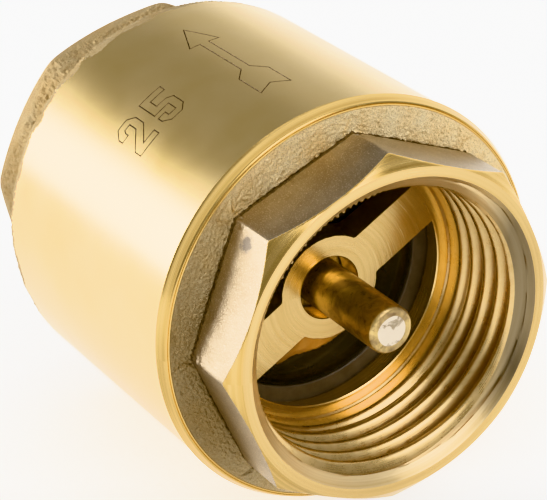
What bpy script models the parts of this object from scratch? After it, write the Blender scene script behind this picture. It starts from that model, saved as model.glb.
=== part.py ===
"""Spring check valve for 1 inch pipe, in brass: a straight two-piece body with a female thread at each end.

The flow axis is X. The inlet is at +X and the outlet at -X, so water flows towards -X. The origin is on
the flow axis, half way between the two end faces. Places along the axis are given as a depth, the
distance from the inlet face, because the whole stack of parts is assembled from that end.
"""

import math

import bmesh
import bpy

MM = 0.001

# Overall shape.
LENGTH = 53.6 * MM
CYLINDER_RADIUS = 22.25 * MM
FLANGE_RADIUS = 22.45 * MM
FLANGE_FRONT_RADIUS = 21.5 * MM
FLANGE_FRONT = 8.35 * MM
FLANGE_REAR = 9.55 * MM
FLANGE_CHAMFER = 0.15 * MM
FLANGE_TAPER = 0.45 * MM  # how much smaller the rim is at its front than at its rear
CYLINDER_BEVEL = 0.25 * MM
GAP = 0.3 * MM  # clearance kept between pieces that touch
OVERRUN = 1.0 * MM  # how far a cutter runs past what it cuts

# The octagonal spanner boss at each end.
BOSS_LENGTH = 7.75 * MM
BOSS_CORNER = 19.6 * MM
BOSS_FACE_RADIUS = 18.05 * MM
BOSS_CHAMFER_ANGLE = math.radians(42)  # from the end face
INLET_BOSS_TURN = 0.0
OUTLET_BOSS_TURN = math.radians(-7.4)  # the two halves are screwed together to any angle
SHOULDER_RADIUS = 17.9 * MM  # where both shoulders meet the bosses, just inside their flats
OUTLET_SHOULDER = 3.3 * MM
SHOULDER_STEPS = 5

# The female pipe thread in each port: G1, ISO 228-1.
THREAD_MINOR_RADIUS = 30.291 / 2 * MM
THREAD_PITCH = 25.4 / 11 * MM
THREAD_DEPTH = 1.479 * MM
PORT_DEPTH = 12.95 * MM
PORT_MOUTH_RADIUS = 17.0 * MM
PORT_CHAMFER_DEPTH = 2.0 * MM
THREAD_FULL_DEPTH = 9.2 * MM
THREAD_END_DEPTH = 11.6 * MM
THREAD_STEPS_PER_TURN = 6

# The two bridges, each a bar with a hub that guides the stem.
HUB_STEPS = 8
PASSAGE_RADIUS = 13.64 * MM
BAR_HALF_WIDTH = 2.65 * MM
INLET_HUB_RADIUS = 5.8 * MM
INLET_HUB_BORE = 3.48 * MM
INLET_BRIDGE_REAR = 16.0 * MM
INLET_BAR_ANGLE = math.radians(29.3)
OUTLET_BRIDGE_FRONT = 36.7 * MM
OUTLET_HUB_RADIUS = 6.8 * MM
OUTLET_NOSE_RADIUS = 4.6 * MM
OUTLET_NOSE_LENGTH = 0.6 * MM
OUTLET_BAR_ANGLE = math.radians(74.3)

# The seat on the inlet fitting, and the joint between the two halves of the body.
SEAT_DEPTH = 16.5 * MM
SEAT_RADIUS = 14.6 * MM
SEAT_LIP_WIDTH = 0.8 * MM
SEAT_LIP_HEIGHT = 0.7 * MM
SPIGOT_RADIUS = 20.2 * MM
SPIGOT_BEVEL = 0.6 * MM
SEAL_GROOVE_FRONT = 10.2 * MM
SEAL_GROOVE_REAR = 12.4 * MM
SEAL_GROOVE_RADIUS = 18.3 * MM
SEAL_SECTION_RADIUS = 0.85 * MM
CHAMBER_RADIUS = 19.8 * MM
CHAMBER_CONE = (2.0 * MM, 3.0 * MM)  # along and across the axis, at the outlet end

# The poppet: a stem, two plates that clamp the rubber seal, and a nut.
STEM_RADIUS = 2.6 * MM
STEM_TIP = 1.2 * MM
STEM_END = 39.5 * MM
STEM_EDGE = 0.5 * MM
COLLAR_RADIUS = 4.2 * MM
COLLAR_FRONT = 16.4 * MM
COLLAR_REAR = 17.2 * MM
FRONT_PLATE_RADIUS = 12.9 * MM
FRONT_PLATE_HUB_RADIUS = 8.0 * MM
FRONT_PLATE_FRONT = 16.35 * MM
FRONT_PLATE_REAR = 17.6 * MM
FRONT_PLATE_EDGE = 0.6 * MM
SEAL_OUTER_RADIUS = 16.2 * MM
SEAL_REAR = 18.8 * MM
BACK_PLATE_RADIUS = 16.4 * MM
BACK_PLATE_REAR = 21.0 * MM
BACK_PLATE_BEVELS = (0.3 * MM, 0.8 * MM)  # at its front and its rear
BOSS_RADIUS = 4.4 * MM
BOSS_REAR = 24.0 * MM
NUT_ACROSS_FLATS = 8.0 * MM
NUT_THICKNESS = 3.0 * MM
NUT_BEVEL = 0.35 * MM

# The spring.
WIRE_RADIUS = 0.4 * MM
SPRING_RADIUS = 5.6 * MM
END_COIL_PITCH = 0.9 * MM
END_COILS = 1.0
ACTIVE_COILS = 5.0
WIRE_STEPS_PER_COIL = 18
WIRE_SIDES = 6

# Facets. A round surface has a flat facet at its lowest point, so the valve lies still on its side.
FACETS = 48
SMALL_FACETS = 24
SEAL_SIDES = 8
SHARP_ANGLE = math.radians(32)


def axial(depth):
    """The X of a plane at this depth from the inlet face."""
    return LENGTH / 2 - depth


def clear_scene():
    for obj in list(bpy.data.objects):
        bpy.data.objects.remove(obj, do_unlink=True)


def material(name, color, metallic, roughness):
    made = bpy.data.materials.new(name)
    made.use_nodes = True
    made.diffuse_color = (*color, 1)
    shader = made.node_tree.nodes["Principled BSDF"]
    shader.inputs["Base Color"].default_value = (*color, 1)
    shader.inputs["Metallic"].default_value = metallic
    shader.inputs["Roughness"].default_value = roughness
    return made


def add_object(name, bm, finish=None):
    """Makes an object of this bmesh, with its faces turned outwards and smooth between its sharp edges."""
    bmesh.ops.recalc_face_normals(bm, faces=bm.faces)
    mesh = bpy.data.meshes.new(name)
    bm.to_mesh(mesh)
    bm.free()
    obj = bpy.data.objects.new(name, mesh)
    bpy.context.scene.collection.objects.link(obj)
    mesh.shade_smooth()
    mesh.set_sharp_from_angle(angle=SHARP_ANGLE)
    if finish:
        mesh.materials.append(finish)
    return obj


def helper(name, bm):
    """A cutter or another guide for a Boolean, which is not part of the valve."""
    obj = add_object(name, bm)
    obj.hide_render = True
    obj.display_type = "WIRE"
    return obj


def boolean(obj, operation, other):
    modifier = obj.modifiers.new(other.name, "BOOLEAN")
    modifier.operation = operation
    modifier.object = other


def ring(bm, x, radius_at, facets):
    """A loop of vertices round the axis. radius_at gives the radius at an angle, to the facets' flats."""
    scale = 1 / math.cos(math.pi / facets)
    verts = []
    for i in range(facets):
        angle = 2 * math.pi * (i + 0.5) / facets
        radius = radius_at(angle) * scale
        verts.append(bm.verts.new((x, radius * math.cos(angle), radius * math.sin(angle))))
    return verts


def join_rings(bm, first, second):
    count = len(first)
    for i in range(count):
        j = (i + 1) % count
        bm.faces.new((first[i], first[j], second[j], second[i]))


def turned_solid(profile, facets=FACETS):
    """A solid turned round the axis, from (depth, radius) points that run from one end face to the other."""
    bm = bmesh.new()
    rings = [ring(bm, axial(depth), lambda _, r=radius: r, facets) for depth, radius in profile]
    for first, second in zip(rings, rings[1:]):
        join_rings(bm, first, second)
    bm.faces.new(rings[0])
    bm.faces.new(rings[-1])
    return bm


def turned_ring(profile, facets=FACETS):
    """A ring turned round the axis, from the (depth, radius) corners of its closed section."""
    bm = bmesh.new()
    rings = [ring(bm, axial(depth), lambda _, r=radius: r, facets) for depth, radius in profile]
    for first, second in zip(rings, rings[1:] + rings[:1]):
        join_rings(bm, first, second)
    return bm


def prism(outline, start, end):
    """An outline of (y, z) points, extruded from one depth to another."""
    bm = bmesh.new()
    near = [bm.verts.new((axial(start), y, z)) for y, z in outline]
    far = [bm.verts.new((axial(end), y, z)) for y, z in outline]
    join_rings(bm, near, far)
    bm.faces.new(near)
    bm.faces.new(far)
    return bm


def regular_outline(sides, corner_radius, first_angle=0.0):
    angles = [first_angle + 2 * math.pi * i / sides for i in range(sides)]
    return [(corner_radius * math.cos(a), corner_radius * math.sin(a)) for a in angles]


def rotated(points, angle):
    c, s = math.cos(angle), math.sin(angle)
    return [(u * c - v * s, u * s + v * c) for u, v in points]


def bridge_outline(hub_radius, reach, angle):
    """A hub with a bar through it. The bar's arms run out past the passage that they cross."""
    start = math.asin(BAR_HALF_WIDTH / hub_radius)
    points = []
    for side in (0, math.pi):
        sweep = math.pi - 2 * start
        arc = [side + start + sweep * i / HUB_STEPS for i in range(HUB_STEPS + 1)]
        points += rotated([(reach, BAR_HALF_WIDTH)], side)
        points += [(hub_radius * math.cos(a), hub_radius * math.sin(a)) for a in arc]
        points += rotated([(-reach, BAR_HALF_WIDTH)], side)
    return rotated(points, angle)


def smooth_step(value):
    value = min(max(value, 0.0), 1.0)
    return value * value * (3 - 2 * value)


def port_radius(depth, x, angle):
    """The radius of a threaded port: a rounded right-hand thread that runs out, behind a 45 degree mouth."""
    fade = 1 - smooth_step((depth - THREAD_FULL_DEPTH) / (THREAD_END_DEPTH - THREAD_FULL_DEPTH))
    turn = x / THREAD_PITCH - angle / (2 * math.pi)
    groove = 0.5 - 0.5 * math.cos(2 * math.pi * turn)
    mouth_slope = (PORT_MOUTH_RADIUS - THREAD_MINOR_RADIUS) / PORT_CHAMFER_DEPTH
    mouth = PORT_MOUTH_RADIUS - max(depth, 0) * mouth_slope
    return max(mouth, THREAD_MINOR_RADIUS + THREAD_DEPTH * groove * fade)


def port_cutter(name, end):
    """The space of a threaded port. end is 1 at the inlet and -1 at the outlet."""
    step = THREAD_PITCH / THREAD_STEPS_PER_TURN
    depths = [-OVERRUN, 0.0]
    while depths[-1] + step < THREAD_END_DEPTH:
        depths.append(depths[-1] + step)
    depths += [THREAD_END_DEPTH, PORT_DEPTH]
    bm = bmesh.new()
    rings = []
    for depth in depths:
        x = end * (LENGTH / 2 - depth)
        rings.append(ring(bm, x, lambda a, d=depth, x=x: port_radius(d, x, a), FACETS))
    for first, second in zip(rings, rings[1:]):
        join_rings(bm, first, second)
    bm.faces.new(rings[0])
    bm.faces.new(rings[-1])
    return helper(name, bm)


def spanner_boss(name, end, turn):
    """The octagon at one end, with the turned chamfer on its corners."""
    face = 0.0 if end > 0 else LENGTH
    reach = BOSS_LENGTH + OVERRUN
    base = face + end * reach
    boss = helper(name, prism(regular_outline(8, BOSS_CORNER, turn), face, base))
    run = BOSS_LENGTH / 2
    grown = BOSS_FACE_RADIUS + run / math.tan(BOSS_CHAMFER_ANGLE)
    cone = [
        (face, BOSS_FACE_RADIUS),
        (face + end * run, grown),
        (base + end * OVERRUN, grown),
    ]
    boolean(boss, "INTERSECT", helper(name + "_chamfer", turned_solid(cone)))
    return boss


def inlet_fitting(finish):
    """The inlet half: boss, flange, threaded port, bridge, seat, and the spigot that screws into the housing."""
    lip_outer = SEAT_RADIUS + SEAT_LIP_WIDTH
    floor = SEAT_DEPTH - SEAT_LIP_HEIGHT
    core = [
        (BOSS_LENGTH, SHOULDER_RADIUS),
        (FLANGE_FRONT, FLANGE_FRONT_RADIUS),
        (FLANGE_FRONT + FLANGE_CHAMFER, FLANGE_RADIUS - FLANGE_TAPER),
        (FLANGE_REAR, FLANGE_RADIUS),
        (FLANGE_REAR, SPIGOT_RADIUS),
        (SEAL_GROOVE_FRONT, SPIGOT_RADIUS),
        (SEAL_GROOVE_FRONT, SEAL_GROOVE_RADIUS),
        (SEAL_GROOVE_REAR, SEAL_GROOVE_RADIUS),
        (SEAL_GROOVE_REAR, SPIGOT_RADIUS),
        (floor - SPIGOT_BEVEL, SPIGOT_RADIUS),
        (floor, SPIGOT_RADIUS - SPIGOT_BEVEL),
        (floor, lip_outer + SPIGOT_BEVEL),
        (SEAT_DEPTH, lip_outer),
    ]
    fitting = add_object("inlet_fitting", turned_solid(core), finish)
    boolean(fitting, "UNION", spanner_boss("inlet_boss", 1, INLET_BOSS_TURN))
    boolean(fitting, "DIFFERENCE", port_cutter("inlet_port", 1))
    seat_slope = (SEAT_RADIUS - PASSAGE_RADIUS) / (SEAT_DEPTH - PORT_DEPTH)
    throat = [
        (PORT_DEPTH - OVERRUN, PASSAGE_RADIUS - seat_slope * OVERRUN),
        (SEAT_DEPTH + OVERRUN, SEAT_RADIUS + seat_slope * OVERRUN),
    ]
    windows = helper("inlet_windows", turned_solid(throat))
    bar = prism(
        bridge_outline(INLET_HUB_RADIUS, CYLINDER_RADIUS, INLET_BAR_ANGLE),
        PORT_DEPTH - 2 * OVERRUN,
        INLET_BRIDGE_REAR,
    )
    boolean(windows, "DIFFERENCE", helper("inlet_bridge", bar))
    boolean(fitting, "DIFFERENCE", windows)
    bore = [(PORT_DEPTH - OVERRUN, INLET_HUB_BORE), (INLET_BRIDGE_REAR + OVERRUN / 2, INLET_HUB_BORE)]
    boolean(fitting, "DIFFERENCE", helper("inlet_hub_bore", turned_solid(bore, SMALL_FACETS)))
    return fitting


def housing(finish):
    """The main body: socket, chamber, outlet bridge with its hub, threaded port and boss."""
    front = FLANGE_REAR + GAP
    socket_end = SEAT_DEPTH - SEAT_LIP_HEIGHT + GAP
    outside = [(front, CYLINDER_RADIUS - CYLINDER_BEVEL), (front + CYLINDER_BEVEL, CYLINDER_RADIUS)]
    for i in range(SHOULDER_STEPS + 1):
        turn = math.pi / 2 * i / SHOULDER_STEPS
        depth = LENGTH - BOSS_LENGTH - OUTLET_SHOULDER * (1 - math.sin(turn))
        outside.append((depth, SHOULDER_RADIUS + (CYLINDER_RADIUS - SHOULDER_RADIUS) * math.cos(turn)))
    body = add_object("housing", turned_solid(outside), finish)
    boolean(body, "UNION", spanner_boss("outlet_boss", -1, OUTLET_BOSS_TURN))
    cone_length, cone_drop = CHAMBER_CONE
    chamber = [
        (front - OVERRUN, SPIGOT_RADIUS + GAP),
        (socket_end, SPIGOT_RADIUS + GAP),
        (socket_end, CHAMBER_RADIUS),
        (OUTLET_BRIDGE_FRONT - cone_length, CHAMBER_RADIUS),
        (OUTLET_BRIDGE_FRONT, CHAMBER_RADIUS - cone_drop),
    ]
    boolean(body, "DIFFERENCE", helper("chamber", turned_solid(chamber)))
    boolean(body, "DIFFERENCE", port_cutter("outlet_port", -1))
    passage = [
        (OUTLET_BRIDGE_FRONT - OVERRUN, PASSAGE_RADIUS),
        (LENGTH - PORT_DEPTH + OVERRUN, PASSAGE_RADIUS),
    ]
    windows = helper("outlet_windows", turned_solid(passage))
    bar = prism(
        bridge_outline(OUTLET_HUB_RADIUS, CYLINDER_RADIUS, OUTLET_BAR_ANGLE),
        OUTLET_BRIDGE_FRONT,
        LENGTH - PORT_DEPTH + 2 * OVERRUN,
    )
    boolean(windows, "DIFFERENCE", helper("outlet_bridge", bar))
    boolean(body, "DIFFERENCE", windows)
    nose = [
        (OUTLET_BRIDGE_FRONT - OUTLET_NOSE_LENGTH, OUTLET_NOSE_RADIUS),
        (OUTLET_BRIDGE_FRONT + OVERRUN, OUTLET_NOSE_RADIUS),
    ]
    boolean(body, "UNION", helper("outlet_nose", turned_solid(nose, SMALL_FACETS)))
    bore = [
        (OUTLET_BRIDGE_FRONT - OUTLET_NOSE_LENGTH - OVERRUN, STEM_RADIUS + GAP),
        (LENGTH - PORT_DEPTH + OVERRUN, STEM_RADIUS + GAP),
    ]
    boolean(body, "DIFFERENCE", helper("outlet_guide_bore", turned_solid(bore, SMALL_FACETS)))
    return body


def body_seal_ring(finish):
    """The O-ring between the spigot and the housing."""
    centre_depth = (SEAL_GROOVE_FRONT + SEAL_GROOVE_REAR) / 2
    centre_radius = (SEAL_GROOVE_RADIUS + SPIGOT_RADIUS + GAP) / 2
    section = []
    for i in range(SEAL_SIDES):
        angle = 2 * math.pi * (i + 0.5) / SEAL_SIDES
        depth = centre_depth + SEAL_SECTION_RADIUS * math.cos(angle)
        section.append((depth, centre_radius + SEAL_SECTION_RADIUS * math.sin(angle)))
    return add_object("body_seal_ring", turned_ring(section), finish)


def stem(finish):
    """The guide rod, with the collar that pulls the front plate against the seal."""
    profile = [
        (STEM_TIP, STEM_RADIUS - STEM_EDGE),
        (STEM_TIP + 0.3 * STEM_EDGE, STEM_RADIUS - 0.4 * STEM_EDGE),
        (STEM_TIP + STEM_EDGE, STEM_RADIUS),
        (COLLAR_FRONT, STEM_RADIUS),
        (COLLAR_FRONT, COLLAR_RADIUS),
        (COLLAR_REAR, COLLAR_RADIUS),
        (COLLAR_REAR, STEM_RADIUS),
        (STEM_END - STEM_EDGE, STEM_RADIUS),
        (STEM_END, STEM_RADIUS - STEM_EDGE),
    ]
    return add_object("stem", turned_solid(profile, SMALL_FACETS), finish)


def front_plate(finish):
    """The domed plate that holds the seal. Its hub passes through the seal to the back plate."""
    inner = STEM_RADIUS + GAP
    recess = COLLAR_RADIUS + GAP
    section = [
        (COLLAR_REAR + GAP, inner),
        (COLLAR_REAR + GAP, recess),
        (FRONT_PLATE_FRONT, recess),
        (FRONT_PLATE_FRONT, FRONT_PLATE_RADIUS - 2 * FRONT_PLATE_EDGE),
        (FRONT_PLATE_FRONT + 0.25 * FRONT_PLATE_EDGE, FRONT_PLATE_RADIUS - FRONT_PLATE_EDGE),
        (FRONT_PLATE_FRONT + FRONT_PLATE_EDGE, FRONT_PLATE_RADIUS),
        (FRONT_PLATE_REAR, FRONT_PLATE_RADIUS),
        (FRONT_PLATE_REAR, FRONT_PLATE_HUB_RADIUS),
        (SEAL_REAR, FRONT_PLATE_HUB_RADIUS),
        (SEAL_REAR, inner),
    ]
    return add_object("poppet_front_plate", turned_ring(section), finish)


def seat_seal(finish):
    """The rubber ring that closes on the seat. Its inner part lies under the front plate's rim."""
    front = SEAT_DEPTH + GAP
    section = [
        (FRONT_PLATE_REAR + GAP, FRONT_PLATE_HUB_RADIUS + GAP),
        (FRONT_PLATE_REAR + GAP, FRONT_PLATE_RADIUS + GAP),
        (front, FRONT_PLATE_RADIUS + GAP),
        (front, SEAL_OUTER_RADIUS),
        (SEAL_REAR, SEAL_OUTER_RADIUS),
        (SEAL_REAR, FRONT_PLATE_HUB_RADIUS + GAP),
    ]
    return add_object("seat_seal", turned_ring(section), finish)


def back_plate(finish):
    """The plate behind the seal, with the boss that centres the spring."""
    inner = STEM_RADIUS + GAP
    front = SEAL_REAR + GAP
    front_bevel, rear_bevel = BACK_PLATE_BEVELS
    section = [
        (front, inner),
        (front, BACK_PLATE_RADIUS - front_bevel),
        (front + front_bevel, BACK_PLATE_RADIUS),
        (BACK_PLATE_REAR - rear_bevel, BACK_PLATE_RADIUS),
        (BACK_PLATE_REAR, BACK_PLATE_RADIUS - 1.5 * rear_bevel),
        (BACK_PLATE_REAR, BOSS_RADIUS),
        (BOSS_REAR, BOSS_RADIUS),
        (BOSS_REAR, inner),
    ]
    return add_object("poppet_back_plate", turned_ring(section), finish)


def poppet_nut(finish):
    """The hexagon nut on the stem, which clamps the two plates together."""
    front = BOSS_REAR + GAP
    rear = front + NUT_THICKNESS
    corner = NUT_ACROSS_FLATS / 2 / math.cos(math.radians(30))
    nut = add_object("poppet_nut", prism(regular_outline(6, corner), front, rear), finish)
    face_radius = corner - 1.6 * NUT_BEVEL
    barrel = [
        (front, face_radius),
        (front + NUT_BEVEL, corner),
        (rear - NUT_BEVEL, corner),
        (rear, face_radius),
    ]
    boolean(nut, "INTERSECT", helper("nut_chamfer", turned_solid(barrel)))
    bore = [(front - OVERRUN, STEM_RADIUS + GAP), (rear + OVERRUN, STEM_RADIUS + GAP)]
    boolean(nut, "DIFFERENCE", helper("nut_bore", turned_solid(bore, SMALL_FACETS)))
    return nut


def spring(finish):
    """A round wire wound between the back plate and the outlet bridge, with a closed coil at each end."""
    front = BACK_PLATE_REAR + GAP + WIRE_RADIUS
    rear = OUTLET_BRIDGE_FRONT - GAP - WIRE_RADIUS
    closed = END_COILS * END_COIL_PITCH
    active_pitch = (rear - front - 2 * closed) / ACTIVE_COILS
    turns = ACTIVE_COILS + 2 * END_COILS
    count = round(turns * WIRE_STEPS_PER_COIL)

    def depth_at(turn):
        head = min(turn, END_COILS) * END_COIL_PITCH
        tail = max(turn - END_COILS - ACTIVE_COILS, 0) * END_COIL_PITCH
        middle = min(max(turn - END_COILS, 0), ACTIVE_COILS) * active_pitch
        return front + head + middle + tail

    bm = bmesh.new()
    sections = []
    for i in range(count + 1):
        turn = turns * i / count
        angle = 2 * math.pi * turn
        section = []
        for k in range(WIRE_SIDES):
            around = 2 * math.pi * k / WIRE_SIDES
            radius = SPRING_RADIUS + WIRE_RADIUS * math.cos(around)
            x = axial(depth_at(turn) + WIRE_RADIUS * math.sin(around))
            section.append(bm.verts.new((x, radius * math.cos(angle), radius * math.sin(angle))))
        sections.append(section)
    for first, second in zip(sections, sections[1:]):
        join_rings(bm, first, second)
    bm.faces.new(sections[0])
    bm.faces.new(sections[-1])
    return add_object("spring", bm, finish)


def build():
    clear_scene()
    cast_brass = material("cast_brass", (0.72, 0.55, 0.28), 1.0, 0.35)
    turned_brass = material("turned_brass", (0.80, 0.62, 0.30), 1.0, 0.25)
    stem_brass = material("stem_brass", (0.68, 0.47, 0.16), 1.0, 0.30)
    nut_brass = material("nut_brass", (0.76, 0.58, 0.28), 1.0, 0.30)
    black_plastic = material("black_plastic", (0.02, 0.02, 0.018), 0.0, 0.25)
    black_rubber = material("black_rubber", (0.035, 0.033, 0.03), 0.0, 0.6)
    steel_wire = material("steel_wire", (0.62, 0.62, 0.62), 1.0, 0.25)

    housing(turned_brass)
    inlet_fitting(cast_brass)
    body_seal_ring(black_rubber)
    spring(steel_wire)
    poppet = [
        stem(stem_brass),
        front_plate(black_plastic),
        seat_seal(black_rubber),
        back_plate(black_plastic),
        poppet_nut(nut_brass),
    ]
    slide = bpy.data.objects.new("poppet_slide_axis", None)
    bpy.context.scene.collection.objects.link(slide)
    for piece in poppet:
        piece.parent = slide


build()
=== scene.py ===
"""Looks of the brass spring check valve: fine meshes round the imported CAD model, materials, and a studio.

Places along the flow axis are depths, the distance from the inlet face, as in the CAD model. A turned
surface is a grid of rows (round the section) and columns (round the axis), so threads, forged flats and
rough skin are all heights in one grid.
"""

import math

import bpy
import numpy as np
from mathutils import Matrix, Vector, noise


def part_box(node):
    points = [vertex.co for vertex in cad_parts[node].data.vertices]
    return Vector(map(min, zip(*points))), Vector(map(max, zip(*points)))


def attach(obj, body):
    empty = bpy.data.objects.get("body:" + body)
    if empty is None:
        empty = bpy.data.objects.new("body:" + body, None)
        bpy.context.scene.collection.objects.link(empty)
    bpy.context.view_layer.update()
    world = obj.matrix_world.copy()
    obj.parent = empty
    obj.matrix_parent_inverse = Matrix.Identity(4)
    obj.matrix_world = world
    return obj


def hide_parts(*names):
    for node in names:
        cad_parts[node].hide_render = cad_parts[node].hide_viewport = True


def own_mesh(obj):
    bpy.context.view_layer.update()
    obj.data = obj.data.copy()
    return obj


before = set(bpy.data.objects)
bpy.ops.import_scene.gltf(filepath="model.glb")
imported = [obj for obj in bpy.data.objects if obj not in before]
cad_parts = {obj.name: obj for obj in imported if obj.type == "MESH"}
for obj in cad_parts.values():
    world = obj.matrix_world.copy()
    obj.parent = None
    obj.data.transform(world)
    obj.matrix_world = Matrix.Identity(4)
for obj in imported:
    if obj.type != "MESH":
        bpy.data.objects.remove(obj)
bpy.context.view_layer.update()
MM = 0.001

INLET_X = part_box("inlet_fitting")[1].x


def extent(node):
    """The depths of a CAD node's front and rear, and how far it reaches up from the axis."""
    low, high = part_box(node)
    return INLET_X - high.x, INLET_X - low.x, high.z


# Sizes that the CAD boxes give.
FLANGE_RADIUS = extent("inlet_fitting")[2]
HOUSING_FRONT, LENGTH, CYLINDER_RADIUS = extent("housing")
STEM_TIP, STEM_END = extent("stem")[:2]
FRONT_PLATE_FRONT, _, FRONT_PLATE_RADIUS = extent("poppet_front_plate")
SEAL_FRONT, SEAL_REAR, SEAL_OUTER_RADIUS = extent("seat_seal")
BACK_PLATE_FRONT, BOSS_REAR, BACK_PLATE_RADIUS = extent("poppet_back_plate")
NUT_FRONT, NUT_REAR, NUT_HALF_FLATS = extent("poppet_nut")
SPRING_FRONT, SPRING_REAR = extent("spring")[:2]

# Sizes inside those boxes, as in the CAD model.
FLANGE_FRONT_RADIUS = 21.5 * MM
FLANGE_FRONT = 8.35 * MM
FLANGE_REAR = 9.55 * MM
FLANGE_CHAMFER = 0.15 * MM
FLANGE_TAPER = 0.45 * MM
GAP = 0.3 * MM
BOSS_LENGTH = 7.75 * MM
BOSS_CORNER = 19.6 * MM
BOSS_FACE_RADIUS = 18.05 * MM
BOSS_CHAMFER_SLOPE = 1 / math.tan(math.radians(42))
SHOULDER_RADIUS = 17.9 * MM
OUTLET_SHOULDER = 3.3 * MM
BOSS_TURN = {1: 0.0, -1: math.radians(-7.4)}
THREAD_MINOR_RADIUS = 30.291 / 2 * MM
THREAD_PITCH = 25.4 / 11 * MM
THREAD_DEPTH = 1.479 * MM
PORT_DEPTH = 12.95 * MM
PORT_MOUTH_RADIUS = 17.0 * MM
PORT_CHAMFER_DEPTH = 2.0 * MM
THREAD_FULL_DEPTH = 9.2 * MM
THREAD_END_DEPTH = 11.6 * MM
PASSAGE_RADIUS = 13.64 * MM
BAR_HALF_WIDTH = 2.65 * MM
INLET_HUB_RADIUS = 5.8 * MM
INLET_HUB_BORE = 3.48 * MM
INLET_BRIDGE_REAR = 16.0 * MM
INLET_BAR_ANGLE = math.radians(29.3)
OUTLET_BRIDGE_FRONT = 36.7 * MM
OUTLET_HUB_RADIUS = 6.8 * MM
OUTLET_NOSE_RADIUS = 4.6 * MM
OUTLET_NOSE_LENGTH = 0.6 * MM
OUTLET_BAR_ANGLE = math.radians(74.3)
SEAT_DEPTH = 16.5 * MM
SEAT_RADIUS = 14.6 * MM
SEAT_LIP_WIDTH = 0.8 * MM
SEAT_LIP_HEIGHT = 0.7 * MM
SPIGOT_RADIUS = 20.2 * MM
SPIGOT_THREAD_PITCH = 1.5 * MM
SPIGOT_THREAD_DEPTH = 0.8 * MM
SEAL_GROOVE_FRONT = 10.2 * MM
SEAL_GROOVE_REAR = 12.4 * MM
SEAL_GROOVE_RADIUS = 18.3 * MM
SEAL_SECTION_RADIUS = 0.85 * MM
CHAMBER_RADIUS = 19.8 * MM
CHAMBER_CONE = (2.0 * MM, 3.0 * MM)
STEM_RADIUS = 2.6 * MM
STEM_EDGE = 0.5 * MM
FACED_TIP_RADIUS = 1.65 * MM
COLLAR_RADIUS = 4.2 * MM
COLLAR_FRONT = 16.4 * MM
COLLAR_REAR = 17.2 * MM
FRONT_PLATE_HUB_RADIUS = 8.0 * MM
FRONT_PLATE_REAR = 17.6 * MM
BACK_PLATE_REAR = 21.0 * MM
BOSS_RADIUS = 4.4 * MM
WIRE_RADIUS = 0.4 * MM
SPRING_RADIUS = 5.6 * MM
END_COIL_PITCH = 0.9 * MM
END_COILS = 1.0
ACTIVE_COILS = 5.0

# How finely the grids are divided.
SKIN_COLUMNS = 1000
FAR_SKIN_COLUMNS = 800
CORE_COLUMNS = 400
PORT_COLUMNS = 760
FAR_PORT_COLUMNS = 480
BRIDGE_COLUMNS = 960
NUT_COLUMNS = 192
STEM_COLUMNS = 128
THREAD_ROWS_PER_TURN = 22
SHARP_ANGLE = math.radians(38)

# Sizes that only the looks have. Where there are two, 1 is the inlet's and -1 the outlet's.
LINER_OUTSIDE = PORT_MOUTH_RADIUS + 0.3 * MM
BURY = 0.15 * MM
THREAD_SHIFT = {1: 1.7 * MM, -1: 0.0}
BOSS_RELIEF = {1: (0.02 * MM, 0.008 * MM, 0.05 * MM), -1: (0.12 * MM, 0.22 * MM, 0.0)}
EDGE_ROUNDING = {1: 0.07 * MM, -1: 0.35 * MM}
BRIDGE_REACH = 14.9 * MM
WEB_WIDTH = 2.5 * MM
WEB_DEPTH = 0.6 * MM
TOOTH_COUNT = 130
TOOTH_MIDDLE = math.radians(147)
TOOTH_SPAN = math.radians(60)
TOOTH_HEIGHT = 0.52 * MM
TEAR_HEIGHT = 0.24 * MM
FOLDS = ((90.5, 0.032), (131.0, -0.048), (138.0, 0.024), (46.0, 0.032), (184.0, -0.032), (228.0, 0.032))
FOLD_DEPTH = 0.17 * MM
SCAR_PLACE = (22.3 * MM, -14.2 * MM, 12.3 * MM)


# ---------------------------------------------------------------- materials


class Tree:
    """A short way to write the node tree of a material or a world."""

    def __init__(self, owner):
        owner.use_nodes = True
        self.tree = owner.node_tree

    def add(self, kind, **settings):
        node = self.tree.nodes.new(kind)
        for key, value in settings.items():
            setattr(node, key, value)
        return node

    def link(self, source, target):
        self.tree.links.new(source, target)

    def feed(self, node, inputs):
        """Links or sets the node's inputs."""
        for key, value in inputs.items():
            if isinstance(value, bpy.types.NodeSocket):
                self.link(value, node.inputs[key])
            else:
                node.inputs[key].default_value = value
        return node


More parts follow.
